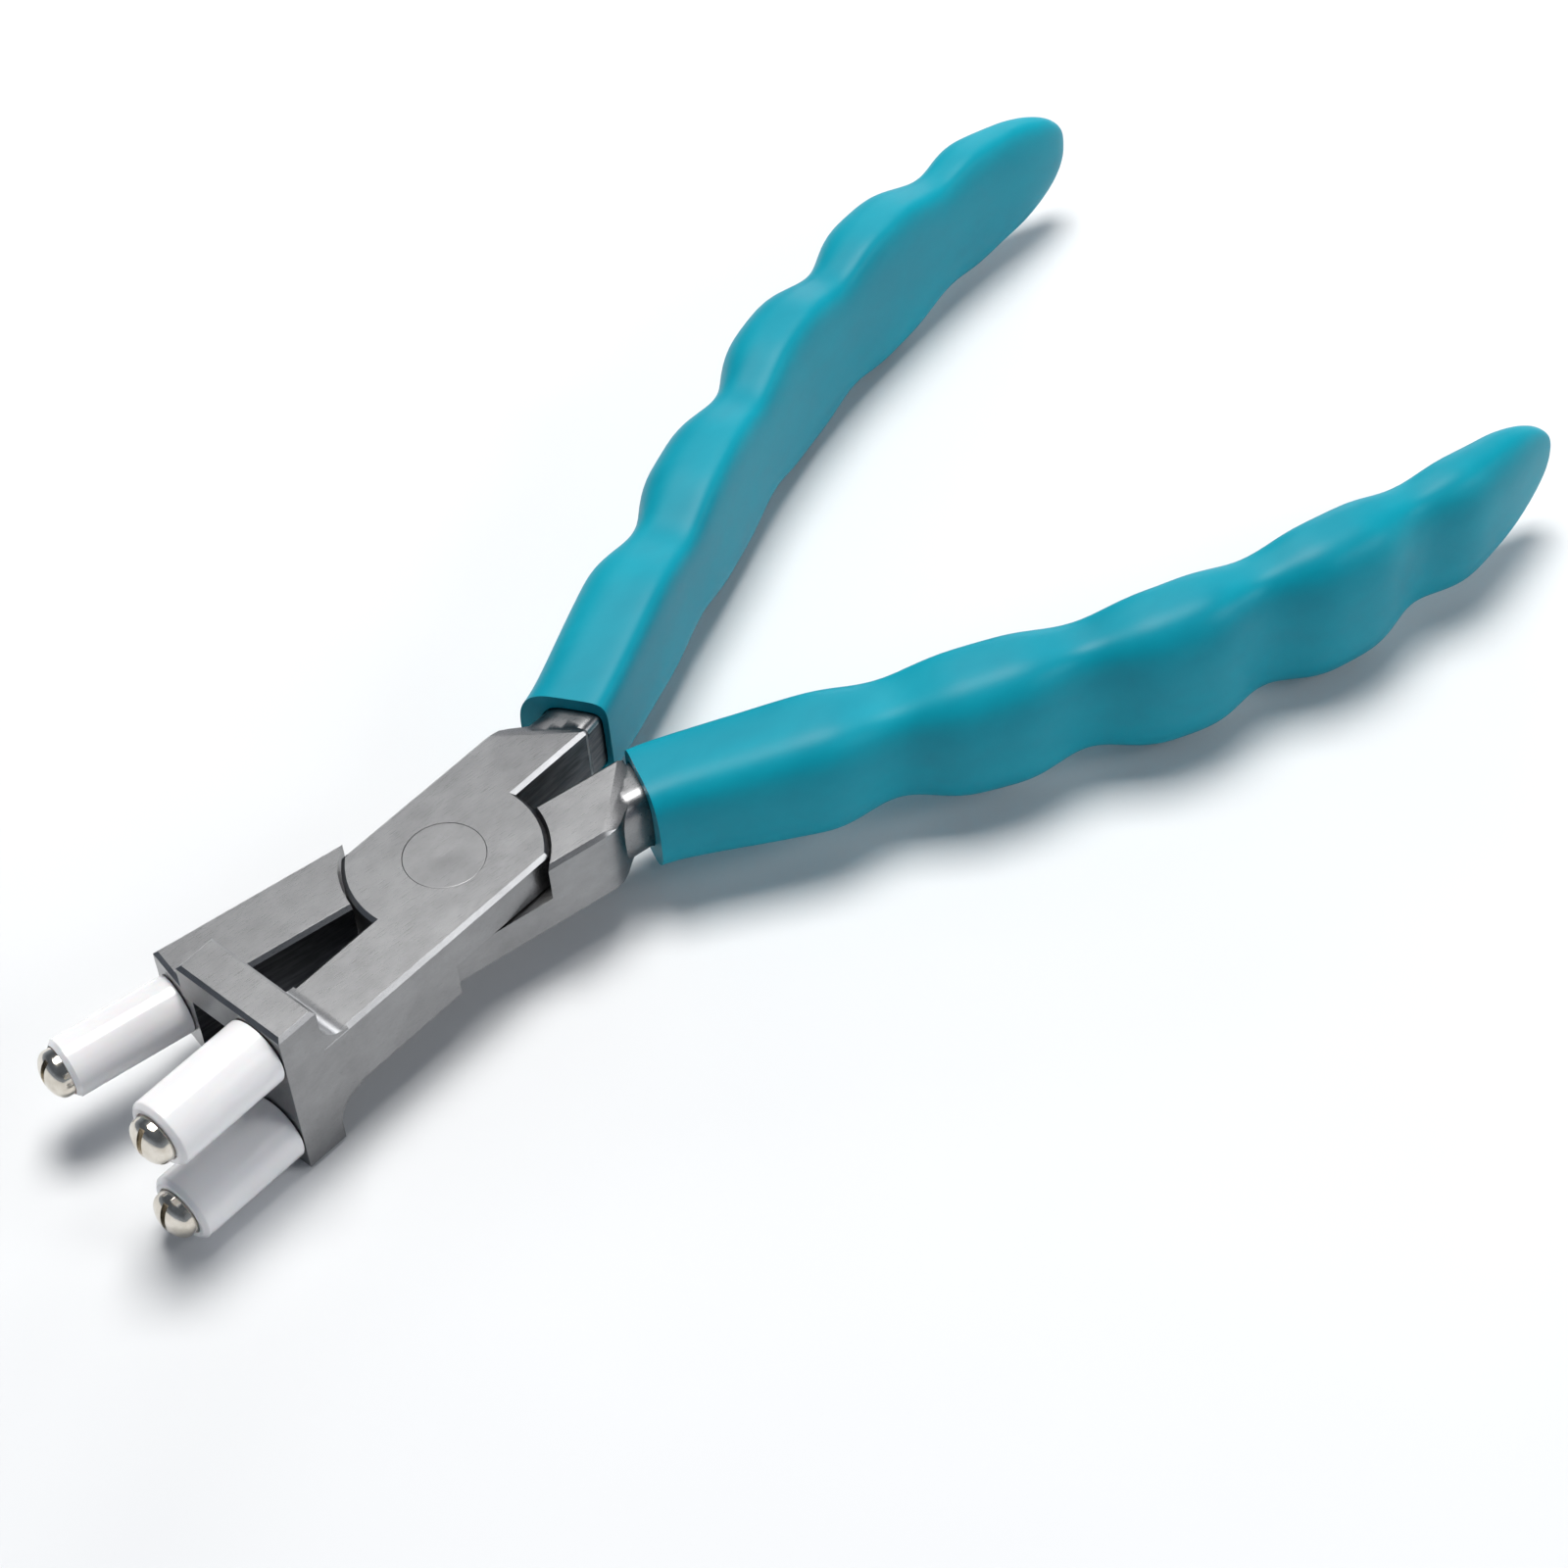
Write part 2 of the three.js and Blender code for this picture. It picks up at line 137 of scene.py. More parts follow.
def object_from(name, points, faces):
    """An object from points in millimetres."""
    mesh = bpy.data.meshes.new(name)
    mesh.from_pydata([Vector(p) * MM for p in points], [], faces)
    bm = bmesh.new()
    bm.from_mesh(mesh)
    bmesh.ops.recalc_face_normals(bm, faces=bm.faces)
    bm.to_mesh(mesh)
    bm.free()
    return new_object(name, mesh)


def loft(name, rings):
    """Rings with the same number of points, joined into one closed skin."""
    sides = len(rings[0])
    points = [point for ring in rings for point in ring]
    faces = []
    for start in range(0, len(points) - sides, sides):
        for side in range(sides):
            after = (side + 1) % sides
            faces.append((start + side, start + after, start + after + sides, start + side + sides))
    faces.append(tuple(range(sides)))
    faces.append(tuple(range(len(points) - sides, len(points))))
    return object_from(name, points, faces)


def prism(name, outline, low, high, edge=0.0):
    """An outline in plan, drawn out in height, with its top and bottom edges chamfered."""
    rings = [[(x, y, z) for x, y in outline] for z in (low, high)]
    obj = loft(name, rings)
    if edge:
        bm = bmesh.new()
        bm.from_mesh(obj.data)
        ends = (low * MM, high * MM)
        rims = [
            rim for rim in bm.edges
            if any(all(abs(vert.co.z - end) < 1e-7 for vert in rim.verts) for end in ends)
        ]
        bmesh.ops.bevel(
            bm, geom=rims, offset=edge * MM, offset_type="OFFSET", segments=1, affect="EDGES"
        )
        bm.to_mesh(obj.data)
        bm.free()
    return obj


def box(name, low, high):
    outline = [(low[0], low[1]), (high[0], low[1]), (high[0], high[1]), (low[0], high[1])]
    return prism(name, outline, low[2], high[2])


def turned(name, profile, sides=128):
    """A profile of (radius, height), from axis to axis, turned about z."""
    rings = []
    for radius, height in profile:
        turns = [2 * math.pi * side / sides for side in range(sides)]
        rings.append([(radius * math.cos(t), radius * math.sin(t), height) for t in turns])
    return loft(name, rings)


def turned_along_x(name, profile, at, sides=128):
    obj = turned(name, profile, sides)
    obj.data.transform(Matrix.Translation(Vector(at) * MM) @ Matrix.Rotation(math.pi / 2, 4, "Y"))
    return obj


def combine(base, *steps):
    """Cuts with and joins on other objects, given as (operation, object), which are used up."""
    for operation, tool in steps:
        modifier = base.modifiers.new(operation, "BOOLEAN")
        modifier.operation = operation
        modifier.solver = "EXACT"
        modifier.object = tool
    bpy.context.view_layer.update()
    seen = base.evaluated_get(bpy.context.evaluated_depsgraph_get())
    mesh = bpy.data.meshes.new_from_object(seen)
    base.modifiers.clear()
    base.data = mesh
    for _, tool in steps:
        bpy.data.objects.remove(tool)
    return base


def soften(obj, width, segments=2, angle=30):
    """Rounds the sharp edges a little, and shades smoothly across the rest."""
    bm = bmesh.new()
    bm.from_mesh(obj.data)
    bmesh.ops.remove_doubles(bm, verts=bm.verts, dist=0.002 * MM)
    bmesh.ops.dissolve_degenerate(bm, edges=bm.edges, dist=0.002 * MM)
    bm.to_mesh(obj.data)
    bm.free()
    obj.data.shade_smooth()
    bevel = obj.modifiers.new("edges", "BEVEL")
    bevel.width = width * MM
    bevel.segments = segments
    bevel.limit_method = "ANGLE"
    bevel.angle_limit = math.radians(angle)
    bevel.harden_normals = True
    normals = obj.modifiers.new("normals", "WEIGHTED_NORMAL")
    normals.keep_sharp = True
    return obj


def finish_piece(obj, body, materials, slot, *nodes, mirror=None):
    """Sets a piece, drawn in its half's own frame, in place of its CAD nodes."""
    if mirror:
        obj.data.transform(mirror)
        if mirror.determinant() < 0:
            obj.data.flip_normals()
    obj.data.transform(Matrix.Translation(PIVOT) @ Matrix.Rotation(HALF_OPENING[body], 4, "Z"))
    for material in materials:
        obj.data.materials.append(material)
    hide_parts(*nodes)
    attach(obj, body)
    return obj


# ---------------------------------------------------------------- handle curves and sections


def spline(points, t):
    """Catmull-Rom curve through points of any size, with t from 0 to 1."""
    place = t * (len(points) - 1)
    index = min(int(place), len(points) - 2)
    part = place - index
    before, start, end, after = (
        Vector(points[max(0, min(len(points) - 1, index + step))]) for step in (-1, 0, 1, 2)
    )
    v0, v1 = (end - before) * 0.5, (after - start) * 0.5
    cubic = (start - end) * 2 + v0 + v1
    square = (end - start) * 3 - v0 * 2 - v1
    return cubic * part**3 + square * part**2 + v0 * part + start


class HandleLine:
    """A line in plan, walked by distance along it. Its points run along -x and -y."""

    def __init__(self, points, steps=600):
        self.samples = [-spline(points, step / steps) for step in range(steps + 1)]
        self.along = [0.0]
        for a, b in zip(self.samples, self.samples[1:]):
            self.along.append(self.along[-1] + (b - a).length)
        self.length = self.along[-1]

    def at(self, distance):
        """(point, direction) at a distance along the line."""
        low, high = 0, len(self.along) - 1
        while high - low > 1:
            middle = (low + high) // 2
            if self.along[middle] <= distance:
                low = middle
            else:
                high = middle
        part = (distance - self.along[low]) / (self.along[high] - self.along[low])
        a, b = self.samples[low], self.samples[high]
        before = self.samples[max(0, low - 3)]
        after = self.samples[min(len(self.samples) - 1, high + 3)]
        return a.lerp(b, part), (after - before).normalized()


def section(inner, outer, half_height, squareness, sides):
    """Points (across, up) evenly spaced round a section: flat inner side, round outer side."""

    def point(turn):
        cos, sin = math.cos(turn), math.sin(turn)
        power = 2 / (OUTER_ROUNDNESS if cos > 0 else squareness)
        reach = outer if cos > 0 else inner
        across = math.copysign(reach * abs(cos) ** power, cos)
        return across, math.copysign(half_height * abs(sin) ** power, sin)

    fine = 16 * sides
    points = [point(2 * math.pi * step / fine) for step in range(fine + 1)]
    run = [0.0]
    for a, b in zip(points, points[1:]):
        run.append(run[-1] + math.dist(a, b))
    even, step = [], 0
    for side in range(sides):
        target = run[-1] * side / sides
        while run[step + 1] < target:
            step += 1
        part = (target - run[step]) / (run[step + 1] - run[step])
        even.append(tuple(a + (b - a) * part for a, b in zip(points[step], points[step + 1])))
    return even


def ring_at(line, distance, offsets):
    """A section's points set square across a handle line."""
    point, direction = line.at(distance)
    outward = Vector((-direction.y, direction.x))
    return [(*(point + outward * across), up) for across, up in offsets]


def tang(name, grow, sides=72, steps=70):
    """A handle's steel core, or with grow above 0 the cavity it fills in its grip."""
    line = HandleLine(TANG_LINE)
    rings = []
    for step in range(steps + 1):
        half = [size + grow for size in spline(TANG_SECTIONS, step / steps)]
        rings.append(ring_at(line, line.length * step / steps, section(*half, TANG_SQUARENESS, sides)))
    return loft(name, rings)


# ---------------------------------------------------------------- forged halves


def arc(centre, radius, start, end, steps):
    """Points along an arc, angles in radians."""
    turns = [start + (end - start) * step / steps for step in range(steps + 1)]
    return [(centre[0] + radius * math.cos(t), centre[1] + radius * math.sin(t)) for t in turns]


def half_outline():
    """A half in plan, from its nose round the shoulders and the neck."""
    corner = math.asin(JOINT_HALF_WIDTH / JOINT_RADIUS)
    inner = math.asin(FACE_INSET / JOINT_RADIUS)
    outline = [(JAW_LENGTH, FACE_INSET), (JAW_LENGTH, JOINT_HALF_WIDTH)]
    outline += arc((0, 0), JOINT_RADIUS, math.pi - corner, math.pi + inner, 24)
    outline += [(-behind, -outside) for behind, outside in NECK_END]
    outline += [(-NECK_CORNER, -JOINT_HALF_WIDTH)]
    outline += arc((0, 0), JOINT_RADIUS, -corner, inner, 24)
    return outline


def neck_cut(side):
    """The space above the surface that falls away past the neck's slanting ridge."""
    size = 40.0
    corner = Vector((-NECK_CORNER, -JOINT_HALF_WIDTH, side * HALF_THICKNESS))
    end = Vector((-NECK_RIDGE_END, -FACE_INSET, side * HALF_THICKNESS))
    along = (end - corner).normalized()
    away = Vector((-along.y, along.x, 0))
    if away.x > 0:
        away.negate()
    up = Vector((0, 0, side))
    fall = away * math.cos(NECK_SLOPE) - up * math.sin(NECK_SLOPE)
    normal = away * math.sin(NECK_SLOPE) + up * math.cos(NECK_SLOPE)
    cut = box("neck_cut", (0, -size, 0), (size, size, size))
    basis = Matrix((fall, along * side, normal)).transposed().to_4x4()
    if basis.determinant() < 0:
        basis = Matrix((fall, -along * side, normal)).transposed().to_4x4()
    middle = (corner + end) / 2
    cut.data.transform(Matrix.Translation(middle * MM) @ basis)
    return cut


def plain_half(name):
    """A half with its own lap on top, without a head."""
    top = HALF_THICKNESS + 1
    rivet = RIVET_RADIUS + RIVET_GAP
    return combine(
        prism(name, half_outline(), -HALF_THICKNESS, HALF_THICKNESS, EDGE),
        ("DIFFERENCE", turned("recess", [(SHOULDER_RADIUS, -top), (SHOULDER_RADIUS, LAP_FACE)], 200)),
        ("DIFFERENCE", neck_cut(1)),
        ("DIFFERENCE", neck_cut(-1)),
        ("UNION", tang("tang", 0)),
        ("DIFFERENCE", turned("rivet_hole", [(rivet, -top), (rivet, top)], 160)),
    )


def head():
    """The tall head across the jaw, slotted for the other jaw, with a fillet above and below."""
    back = JAW_LENGTH - HEAD_DEPTH
    outline = [
        (back, -HEAD_REACH), (JAW_LENGTH, -HEAD_REACH),
        (JAW_LENGTH, JOINT_HALF_WIDTH), (back, JOINT_HALF_WIDTH),
    ]
    slot = box(
        "slot", (back - 1, -HEAD_REACH - 1, -HEAD_SLOT), (JAW_LENGTH + 1, FACE_INSET, HEAD_SLOT)
    )
    solid = combine(
        prism("head", outline, -HEAD_HALF_HEIGHT, HEAD_HALF_HEIGHT, EDGE), ("DIFFERENCE", slot)
    )
    for side in (1, -1):
        web = [(back + 1, -1.0), (back + 1, HEAD_FILLET)]
        web += arc((back - HEAD_FILLET, HEAD_FILLET), HEAD_FILLET, 0, -math.pi / 2, 16)
        web += [(back - HEAD_FILLET, -1.0)]
        low, high = FACE_INSET + 0.05, JOINT_HALF_WIDTH - 0.05
        fillet = prism("fillet", web, low, high)
        # The web is drawn in x and height, so its prism is turned up on its side.
        rise = side * HALF_THICKNESS * MM
        stand = Matrix(((1, 0, 0, 0), (0, 0, 1, 0), (0, side, 0, rise), (0, 0, 0, 1)))
        fillet.data.transform(stand)
        if stand.determinant() < 0:
            fillet.data.flip_normals()
        combine(solid, ("UNION", fillet))
    return solid


def core_hole(post):
    """The blind hole that a post's core pin stands in."""
    _, y, z, _, core = POSTS[post]
    radius = core + CORE_GAP
    return turned_along_x("hole", [(radius, -CORE_SUNK), (radius, 1.0)], (JAW_LENGTH, y, z), 64)


TURN_OVER = Matrix.Rotation(math.pi, 4, "X")
MIRROR = Matrix.Scale(-1, 4, (0, 1, 0))


def paint_shade_on_inner_faces(obj):
    """Gives the faces beside the centre line, where the halves close, the second material, which paints
    shade on them.
    """
    for face in obj.data.polygons:
        if abs(face.normal.y) > INNER_FACE_SQUARE and abs(face.center.y) < INNER_FACE_REACH * MM:
            face.material_index = 1


def make_forgings(steel, dark):
    # dark is the material that paints shade on the inner faces where the halves close.
    two = combine(
        plain_half("two_post_forging"),
        ("UNION", head()),
        ("DIFFERENCE", core_hole("upper_post")),
        ("DIFFERENCE", core_hole("lower_post")),
    )
    soften(two, FORGED_EDGE)
    paint_shade_on_inner_faces(two)
    finish_piece(two, TWO_POST, (steel, dark), "forged_steel", "two_post_half_forging")
    one = plain_half("one_post_forging")
    one.data.transform(TURN_OVER)
    combine(one, ("DIFFERENCE", core_hole("single_post")))
    soften(one, FORGED_EDGE)
    paint_shade_on_inner_faces(one)
    finish_piece(one, ONE_POST, (steel, dark), "forged_steel", "one_post_half_forging")


def make_rivet(steel):
    flat = HALF_THICKNESS - RIVET_BELOW_FACE
    dished = flat - RIVET_DISH
    rim = RIVET_RADIUS - RIVET_FLAT_RIM
    profile = [
        (NEAR_AXIS, -dished), (rim, -flat), (RIVET_RADIUS, -flat),
        (RIVET_RADIUS, flat), (rim, flat), (NEAR_AXIS, dished),
    ]
    rivet = turned("rivet", profile, 160)
    soften(rivet, FORGED_EDGE)
    finish_piece(rivet, TWO_POST, (steel,), "rivet_steel", "pivot_rivet")


# ---------------------------------------------------------------- grips


def groove_share(behind):
    """0 on a crest between finger grooves, 1 at the bottom of one."""
    turns = (behind - FIRST_CREST) / GROOVE_PITCH
    if turns < 0 or turns > GROOVES:
        return 0.0
    return (0.5 - 0.5 * math.cos(2 * math.pi * turns)) ** GROOVE_NARROWNESS


def grip_skin(name, sides=112, body_steps=170, tip_steps=26):
    """The whole outside of a grip, past its mouth and with a rounded tip."""
    line = HandleLine(GRIP_LINE)
    stations = [((line.length - TIP_LENGTH) * step / body_steps, 1.0) for step in range(body_steps + 1)]
    for step in range(1, tip_steps + 1):
        turn = math.pi / 2 * step / (tip_steps + 0.15)
        stations.append((line.length - TIP_LENGTH * (1 - math.sin(turn)), math.cos(turn) ** 0.9))
    rings = []
    for distance, shrink in stations:
        inner, outer, height, squareness, crown = tuple(spline(GRIP_SECTIONS, distance / line.length))
        groove = GROOVE_DEPTH * groove_share(-line.at(distance)[0].x)
        sizes = (inner + crown, outer - groove - crown, height - GROOVE_DIP * groove)
        offsets = section(*(size * shrink for size in sizes), squareness, sides)
        rings.append(ring_at(line, distance, [(across + crown * shrink, up) for across, up in offsets]))
    return loft(name, rings)


def mouth_cut(points):
    """The space in front of a grip's mouth."""
    size = 40.0
    inner, outer = (Vector((-behind, -outside, 0)) for behind, outside in points)
    along = (outer - inner).normalized()
    forward = Vector((-along.y, along.x, 0))
    cut = box("mouth_cut", (0, -size, -size), (size, size, size))
    basis = Matrix((forward, Vector((0, 0, 1)).cross(forward), Vector((0, 0, 1)))).transposed().to_4x4()
    cut.data.transform(Matrix.Translation((inner + outer) / 2 * MM) @ basis)
    return cut


def make_grips(vinyl):
    for body, node in ((TWO_POST, "two_post_half_grip"), (ONE_POST, "one_post_half_grip")):
        grip = combine(
            grip_skin(f"{node}_skin"),
            ("DIFFERENCE", mouth_cut(MOUTHS[body])),
            ("DIFFERENCE", tang("cavity", TANG_GAP)),
        )
        soften(grip, 0.3, 3, 48)
        finish_piece(
            grip, body, (vinyl,), "teal_vinyl", node, mirror=None if body == TWO_POST else MIRROR
        )


# ---------------------------------------------------------------- posts


def sleeve(name, post):
    """A closed tube with a chamfered end and a ledge for the screw head."""
    _, y, z, outer, core = POSTS[post]
    bore = core + CORE_GAP
    front = SLEEVE_LENGTH - SLEEVE_STEP
    profile = [
        (bore, SLEEVE_STANDOFF), (outer, SLEEVE_STANDOFF),
        (outer, SLEEVE_LENGTH - SLEEVE_CHAMFER), (outer - SLEEVE_CHAMFER, SLEEVE_LENGTH),
        (SCREW_RADIUS + 0.12, SLEEVE_LENGTH), (SCREW_RADIUS + 0.05, front), (bore, front),
    ]
    sides = 128
    points, faces = [], []
    for radius, height in profile:
        for side in range(sides):
            turn = 2 * math.pi * side / sides
            points.append((radius * math.cos(turn), radius * math.sin(turn), height))
    count = len(profile)
    for ring in range(count):
        following = (ring + 1) % count
        for side in range(sides):
            after = (side + 1) % sides
            faces.append((
                ring * sides + side, ring * sides + after,
                following * sides + after, following * sides + side,
            ))
    obj = object_from(name, points, faces)
    place = Matrix.Translation(Vector((JAW_LENGTH, y, z)) * MM) @ Matrix.Rotation(math.pi / 2, 4, "Y")
    obj.data.transform(place)
    return obj


def screw(name, post):
    """A domed head with a straight slot across it."""
    _, y, z, _, _ = POSTS[post]
    dome = SCREW_HEIGHT - SCREW_RIM
    profile = [(SCREW_RADIUS - 0.12, -0.2), (SCREW_RADIUS, 0.0)]
    steps = 20
    for step in range(steps):
        turn = math.pi / 2 * step / steps
        profile.append((SCREW_RADIUS * math.cos(turn), SCREW_RIM + dome * math.sin(turn)))
    profile.append((SCREW_POLE, SCREW_HEIGHT))
    x = JAW_LENGTH + SLEEVE_LENGTH
    half = SCREW_SLOT_WIDTH / 2
    reach = SCREW_RADIUS + 1
    slot = box(
        "slot",
        (x + SCREW_HEIGHT - SCREW_SLOT_DEPTH, y - half, z - reach),
        (x + SCREW_HEIGHT + 1, y + half, z + reach),
    )
    return combine(turned_along_x(name, profile, (x, y, z), 96), ("DIFFERENCE", slot))


def make_posts(nylon, nickel, core_steel):
    for post, (body, *_) in POSTS.items():
        tube = soften(sleeve(f"{post}_sleeve", post), 0.12, 3, 28)
        finish_piece(tube, body, (nylon,), "white_nylon", f"{post}_nylon_sleeve")
        cap = soften(screw(f"{post}_screw", post), 0.08, 2, 28)
        finish_piece(cap, body, (nickel,), "nickel_plate", f"{post}_retaining_screw")
        core = frame["nodes"][f"{post}_core_pin"]
        core.data.materials.clear()
        core.data.materials.append(core_steel)


# ---------------------------------------------------------------- materials


class Shader:
    """A node material with a Principled shader, and short ways to add nodes to it."""

    def __init__(self, name, **values):
        self.material = bpy.data.materials.new(name)
        self.material.use_nodes = True
        self.tree = self.material.node_tree
        self.surface = self.tree.nodes["Principled BSDF"]
        for socket, value in values.items():
            self.surface.inputs[socket.replace("_", " ")].default_value = value
        self.coordinates = self.add("ShaderNodeTexCoord").outputs["Object"]

    def add(self, kind, **values):
        node = self.tree.nodes.new(kind)
        for name, value in values.items():
            setattr(node, name, value)
        return node

    def link(self, output, target):
        self.tree.links.new(output, target)

    def noise(self, per_mm, detail=4.0, roughness=0.55, turn=0.0):
        """Noise with so many features in a millimetre along x, y and z."""
        mapping = self.add("ShaderNodeMapping")
        mapping.inputs["Scale"].default_value = [value / MM for value in per_mm]
        mapping.inputs["Rotation"].default_value = (0, 0, turn)
        self.link(self.coordinates, mapping.inputs["Vector"])
        noise = self.add("ShaderNodeTexNoise")
        noise.inputs["Scale"].default_value = 1.0
        noise.inputs["Detail"].default_value = detail
        noise.inputs["Roughness"].default_value = roughness
        self.link(mapping.outputs["Vector"], noise.inputs["Vector"])
        return noise.outputs["Fac"]

    def spread(self, value, low, high, start=0.3, end=0.7):
        """Maps a noise value onto a range of numbers."""
        node = self.add("ShaderNodeMapRange")
        node.inputs["From Min"].default_value = start
        node.inputs["From Max"].default_value = end
        node.inputs["To Min"].default_value = low
        node.inputs["To Max"].default_value = high
        self.link(value, node.inputs["Value"])
        return node.outputs["Result"]

    def blend(self, value, dark, light):
        """A colour between two, by a number from 0 to 1."""
        node = self.add("ShaderNodeMix", data_type="RGBA")
        node.inputs["A"].default_value = (*dark, 1)
        node.inputs["B"].default_value = (*light, 1)
        self.link(value, node.inputs["Factor"])
        return node.outputs["Result"]

    def bump(self, height, strength, distance_mm, over=None):
        node = self.add("ShaderNodeBump")
        node.inputs["Strength"].default_value = strength
        node.inputs["Distance"].default_value = distance_mm * MM
        self.link(height, node.inputs["Height"])
        if over is not None:
            self.link(over, node.inputs["Normal"])
        return node.outputs["Normal"]

    def set(self, socket, output):
        self.link(output, self.surface.inputs[socket])


def ground_steel(name, dark, light, rough):
    """Satin ground steel: fine grinding lines along the tool, cloudy patches and slight waviness."""
    shader = Shader(name, Metallic=1.0)
    clouds = shader.noise((0.2, 0.3, 0.3), 5, 0.65)
    lines = shader.noise((0.5, 26, 26), 3, 0.6)
    shader.set("Base Color", shader.blend(shader.spread(clouds, 0, 1), dark, light))
    shader.set("Roughness", shader.spread(lines, rough - 0.03, rough + 0.04))
    grain = shader.bump(lines, 0.045, 0.01)
    shader.set("Normal", shader.bump(shader.noise((0.7, 0.7, 0.7), 2), 0.08, 0.06, grain))
    return shader.material


def painted_shade_steel():
    """The halves' inner faces, painted dark as the shade where the halves close, with a few lighter
    streaks.
    """
    shader = Shader("painted_shade_steel", Metallic=1.0)
    streaks = shader.noise((0.3, 0.3, 2.2), 4, 0.6)
    # Painted shade: a near-black tone with lighter streaks across it.
    shade_tone, streak_tone = (0.05, 0.052, 0.06), (0.13, 0.135, 0.14)
    shader.set("Base Color", shader.blend(shader.spread(streaks, 0, 1, 0.4, 0.8), shade_tone, streak_tone))
    shader.set("Roughness", shader.spread(streaks, 0.5, 0.38))
    shader.set("Normal", shader.bump(shader.noise((3, 3, 3), 3), 0.15, 0.02))
    return shader.material


def moulded_vinyl():
    """Soft satin vinyl: faint flow marks, a fine matt grain and slight waviness."""
    shader = Shader("teal_vinyl", Specular_IOR_Level=0.17)
    flow = shader.noise((0.05, 0.09, 0.09), 4, 0.6)
    dark, light = (0.0005, 0.235, 0.32), (0.001, 0.3, 0.395)
    shader.set("Base Color", shader.blend(shader.spread(flow, 0, 1), dark, light))
    grain = shader.noise((7, 7, 7), 2, 0.5)
    shader.set("Roughness", shader.spread(flow, 0.4, 0.5))
    waves = shader.bump(shader.noise((0.35, 0.35, 0.35), 2), 0.12, 0.15)
    shader.set("Normal", shader.bump(grain, 0.12, 0.01, waves))
    return shader.material


def turned_nylon():
    """White nylon rod with the fine rings that turning leaves."""
    shader = Shader(
        "white_nylon", Specular_IOR_Level=0.55, Subsurface_Weight=0.1, Subsurface_Scale=0.001
    )
    clouds = shader.noise((0.08, 0.16, 0.16), 2)
    dull, clean = (0.79, 0.78, 0.79), (0.85, 0.845, 0.85)
    shader.set("Base Color", shader.blend(shader.spread(clouds, 0, 1), dull, clean))
    rings = shader.noise((9, 0.5, 0.5), 2)
    shader.set("Normal", shader.bump(rings, 0.06, 0.01))
    shader.set("Roughness", shader.spread(clouds, 0.13, 0.2))
    return shader.material


def polished_nickel():
    """Polished plate with a faint warm patina."""
    shader = Shader("nickel_plate", Metallic=1.0)
    patina = shader.noise((0.8, 0.8, 0.8), 4, 0.6)
    warm, bright = (0.6, 0.55, 0.47), (0.78, 0.74, 0.67)
    shader.set("Base Color", shader.blend(shader.spread(patina, 0, 1), warm, bright))
    shader.set("Roughness", shader.spread(patina, 0.1, 0.2))
    shader.set("Normal", shader.bump(shader.noise((2, 2, 2), 2), 0.05, 0.05))
    return shader.material


# ---------------------------------------------------------------- camera, floor and light

CAMERA_AZIMUTH = math.radians(52.16)
CAMERA_ELEVATION = math.radians(48.83)
CAMERA_ROLL = math.radians(-5.685)
CAMERA_DISTANCE = 0.3776
CAMERA_AIM = Vector((-0.03042, 0.0131, 0.0))  # from the pivot
SENSOR = 36.0
FOCAL_SHARE = 4052 / 1600  # focal length as a share of the picture's width


def make_camera():
    level = math.cos(CAMERA_ELEVATION)
    back = Vector((
        math.cos(CAMERA_AZIMUTH) * level, math.sin(CAMERA_AZIMUTH) * level, math.sin(CAMERA_ELEVATION)
    ))
    right = (-back).cross(Vector((0, 0, 1))).normalized()
    up = right.cross(-back)
    cos, sin = math.cos(CAMERA_ROLL), math.sin(CAMERA_ROLL)
    data = bpy.data.cameras.new("camera")
    data.sensor_width = SENSOR
    data.lens = FOCAL_SHARE * SENSOR
    data.clip_start = 0.01
    camera = new_object("camera", data)
    turn = Matrix((right * cos + up * sin, up * cos - right * sin, back)).transposed().to_4x4()
    camera.matrix_world = Matrix.Translation(PIVOT + CAMERA_AIM + back * CAMERA_DISTANCE) @ turn
    bpy.context.scene.camera = camera


FLOOR_HALF_SIZE = 1500.0
FLOOR_HEIGHT = -0.02


def make_floor():
    half = FLOOR_HALF_SIZE
    corners = [(-half, -half), (half, -half), (half, half), (-half, half)]
    floor = object_from("floor", [(x, y, FLOOR_HEIGHT) for x, y in corners], [(0, 1, 2, 3)])
    shader = Shader("floor", Roughness=0.85, Specular_IOR_Level=0.2)
    grain = shader.noise((0.02, 0.02, 0.02), 2)
    pale, paler = (0.75, 0.76, 0.775), (0.765, 0.775, 0.785)
    shader.set("Base Color", shader.blend(shader.spread(grain, 0, 1), pale, paler))
    floor.data.materials.append(shader.material)


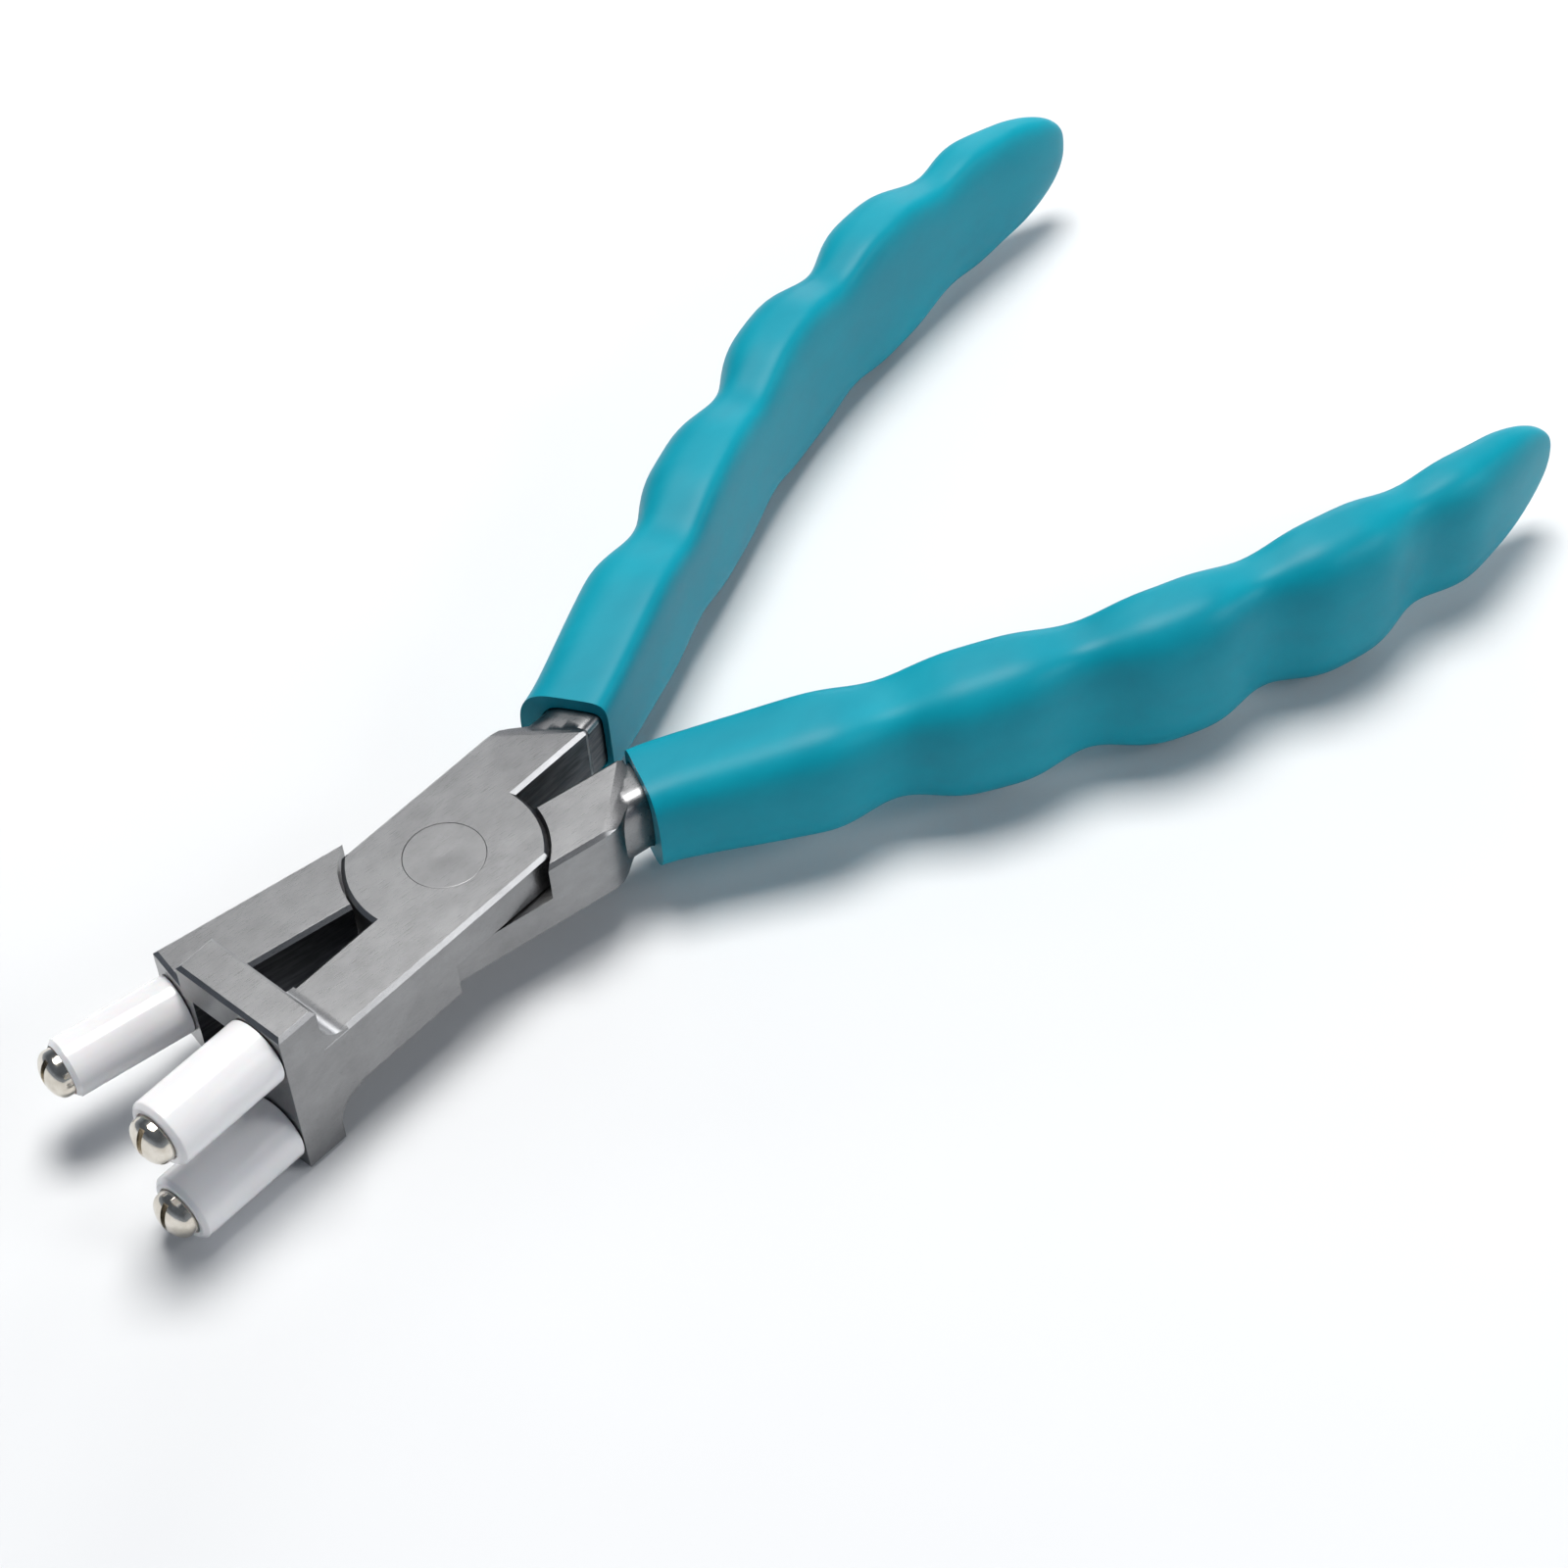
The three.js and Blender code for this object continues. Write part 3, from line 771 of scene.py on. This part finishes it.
def softbox(name, azimuth, elevation, distance, size, power, colour=(1, 1, 1)):
    """A square light that faces the middle of the tool; azimuth is measured from +x towards +y."""
    a, e = math.radians(azimuth), math.radians(elevation)
    data = bpy.data.lights.new(name, "AREA")
    data.size = size
    data.energy = power
    data.color = colour
    lamp = new_object(name, data)
    target = Vector((-0.02, 0, 0.01))
    way = Vector((math.cos(a) * math.cos(e), math.sin(a) * math.cos(e), math.sin(e)))
    lamp.location = target + way * distance
    lamp.rotation_euler = (-way).to_track_quat("-Z", "Y").to_euler()


def make_light():
    """A soft overhead key from behind, cards that the steel reflects, and a dim sky."""
    world = bpy.data.worlds.new("studio")
    bpy.context.scene.world = world
    world.use_nodes = True
    tree = world.node_tree
    place = tree.nodes.new("ShaderNodeTexCoord")
    split = tree.nodes.new("ShaderNodeSeparateXYZ")
    tree.links.new(place.outputs["Generated"], split.inputs["Vector"])
    ramp = tree.nodes.new("ShaderNodeValToRGB")
    ramp.color_ramp.elements[0].position = 0.05
    ramp.color_ramp.elements[0].color = (0.3, 0.34, 0.4, 1)
    ramp.color_ramp.elements[1].position = 0.5
    ramp.color_ramp.elements[1].color = (0.1, 0.115, 0.14, 1)
    tree.links.new(split.outputs["Z"], ramp.inputs["Fac"])
    background = tree.nodes["Background"]
    tree.links.new(ramp.outputs["Color"], background.inputs["Color"])
    background.inputs["Strength"].default_value = 1.0
    softbox("key", 228, 77, 0.9, 0.4, 9.6, (1.0, 0.985, 0.96))
    softbox("back_card", 232, 40, 0.9, 0.5, 0.34)
    softbox("low_back_card", 222, 19, 0.9, 0.3, 1.3)
    softbox("right_card", 127, 28, 0.9, 0.34, 2.0)
    bpy.context.scene.view_settings.view_transform = "Standard"


# ---------------------------------------------------------------- the scene

make_camera()
make_floor()
make_light()
forged = ground_steel("forged_steel", (0.22, 0.221, 0.225), (0.29, 0.292, 0.297), 0.29)
rivet_steel = ground_steel("rivet_steel", (0.213, 0.214, 0.218), (0.28, 0.282, 0.287), 0.3)
core_steel = ground_steel("core_steel", (0.5, 0.5, 0.5), (0.6, 0.6, 0.6), 0.3)
# The forgings' second material paints shade on their inner faces.
make_forgings(forged, painted_shade_steel())
make_rivet(rivet_steel)
make_grips(moulded_vinyl())
make_posts(turned_nylon(), polished_nickel(), core_steel)
